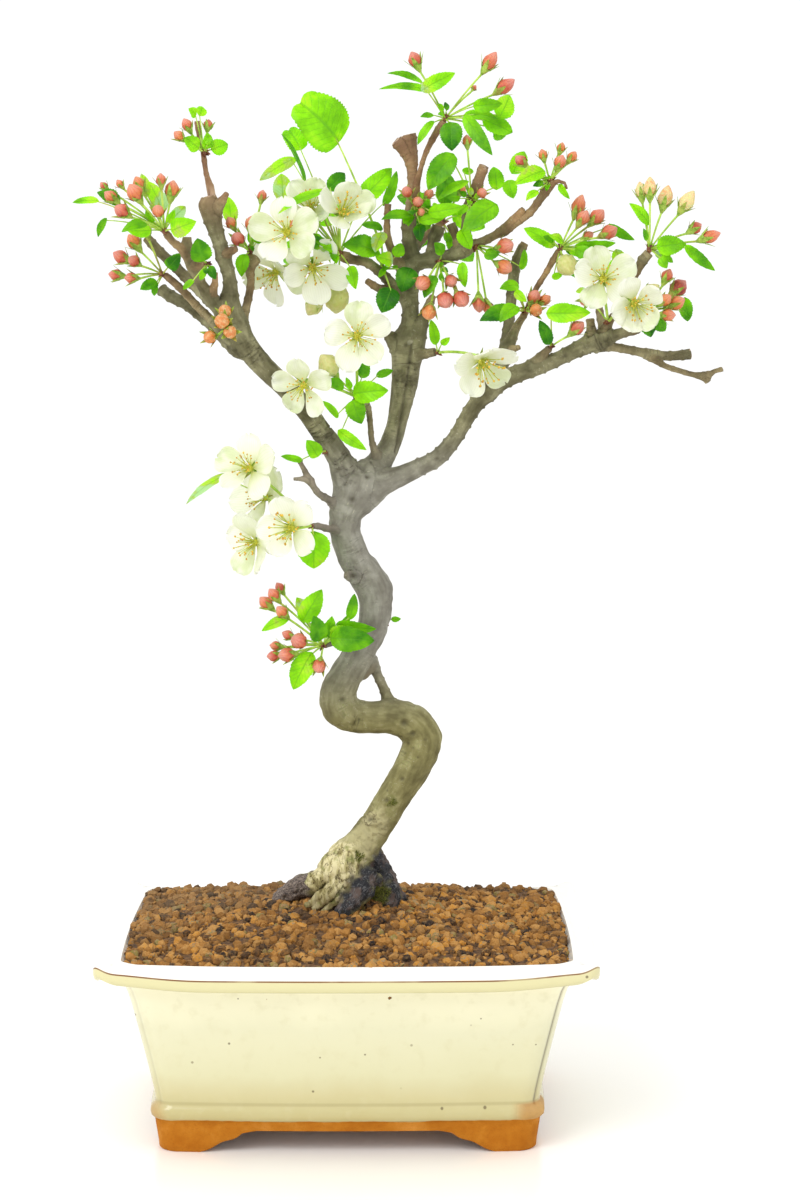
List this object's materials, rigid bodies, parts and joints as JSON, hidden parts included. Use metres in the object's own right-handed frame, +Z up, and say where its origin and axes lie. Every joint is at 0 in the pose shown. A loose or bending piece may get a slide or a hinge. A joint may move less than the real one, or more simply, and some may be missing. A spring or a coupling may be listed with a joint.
{
  "type": "potted flowering bonsai tree",
  "caption": "Flowering crabapple bonsai with an S-bent trunk and spreading limbs of leaves, buds and white blooms, in a rectangular footed cream pot.",
  "frame": {"origin": "on the ground under the middle of the whole plant and pot", "axes": "+Z up the trunk, -Y towards the viewer facing a long side of the pot, +X along the pot to the right"},
  "size_m": [0.3256, 0.202, 0.5521],
  "materials": {
    "glazed_clay": "cream glaze, glossy, bare orange clay under the feet",
    "bark": "grey-olive smooth bark",
    "soil_grains": "matte brown clay granules",
    "leaf_green": "fresh green leaf, slightly glossy",
    "petal_white": "white petals, matte",
    "stamen_yellow": "pale yellow, matte",
    "screen_plastic": "black plastic"
  },
  "bodies": {
    "root": {"pot": "glazed_clay", "drain_screen_1": "screen_plastic", "drain_screen_2": "screen_plastic", "soil": "soil_grains", "tree": "bark", "spray_left_tip": "leaf_green", "spray_left_outer": "leaf_green", "spray_left_lower": "leaf_green", "spray_left_fork": "leaf_green", "spray_left_inner": "leaf_green", "spray_left_limb": "leaf_green", "spray_upper_middle": "leaf_green", "spray_centre_front": "leaf_green", "spray_centre_left": "leaf_green", "spray_top": "leaf_green", "spray_stub": "leaf_green", "spray_branch_tip": "leaf_green", "spray_hanging": "leaf_green", "spray_under_branch": "leaf_green", "spray_right_twig": "leaf_green", "spray_right_inner": "leaf_green", "spray_right_outer": "leaf_green", "spray_right_lower": "leaf_green", "spray_right_spur": "leaf_green", "spray_right_blooms": "leaf_green", "spray_centre_spur": "leaf_green", "spray_middle": "leaf_green", "spray_lower_left": "leaf_green", "spray_lower": "leaf_green", "spray_back": "leaf_green", "spray_back_left": "leaf_green", "spray_back_right": "leaf_green", "bloom_01_petals": "petal_white", "bloom_01_stamens": "stamen_yellow", "bloom_02_petals": "petal_white", "bloom_02_stamens": "stamen_yellow", "bloom_03_petals": "petal_white", "bloom_03_stamens": "stamen_yellow", "bloom_04_petals": "petal_white", "bloom_04_stamens": "stamen_yellow", "bloom_05_petals": "petal_white", "bloom_05_stamens": "stamen_yellow", "bloom_06_petals": "petal_white", "bloom_06_stamens": "stamen_yellow", "bloom_07_petals": "petal_white", "bloom_07_stamens": "stamen_yellow", "bloom_08_petals": "petal_white", "bloom_08_stamens": "stamen_yellow", "bloom_09_petals": "petal_white", "bloom_09_stamens": "stamen_yellow", "bloom_10_petals": "petal_white", "bloom_10_stamens": "stamen_yellow", "bloom_11_petals": "petal_white", "bloom_11_stamens": "stamen_yellow", "bloom_12_petals": "petal_white", "bloom_12_stamens": "stamen_yellow", "bloom_13_petals": "petal_white", "bloom_13_stamens": "stamen_yellow", "bloom_14_petals": "petal_white", "bloom_14_stamens": "stamen_yellow"}
  },
  "joints": []
}
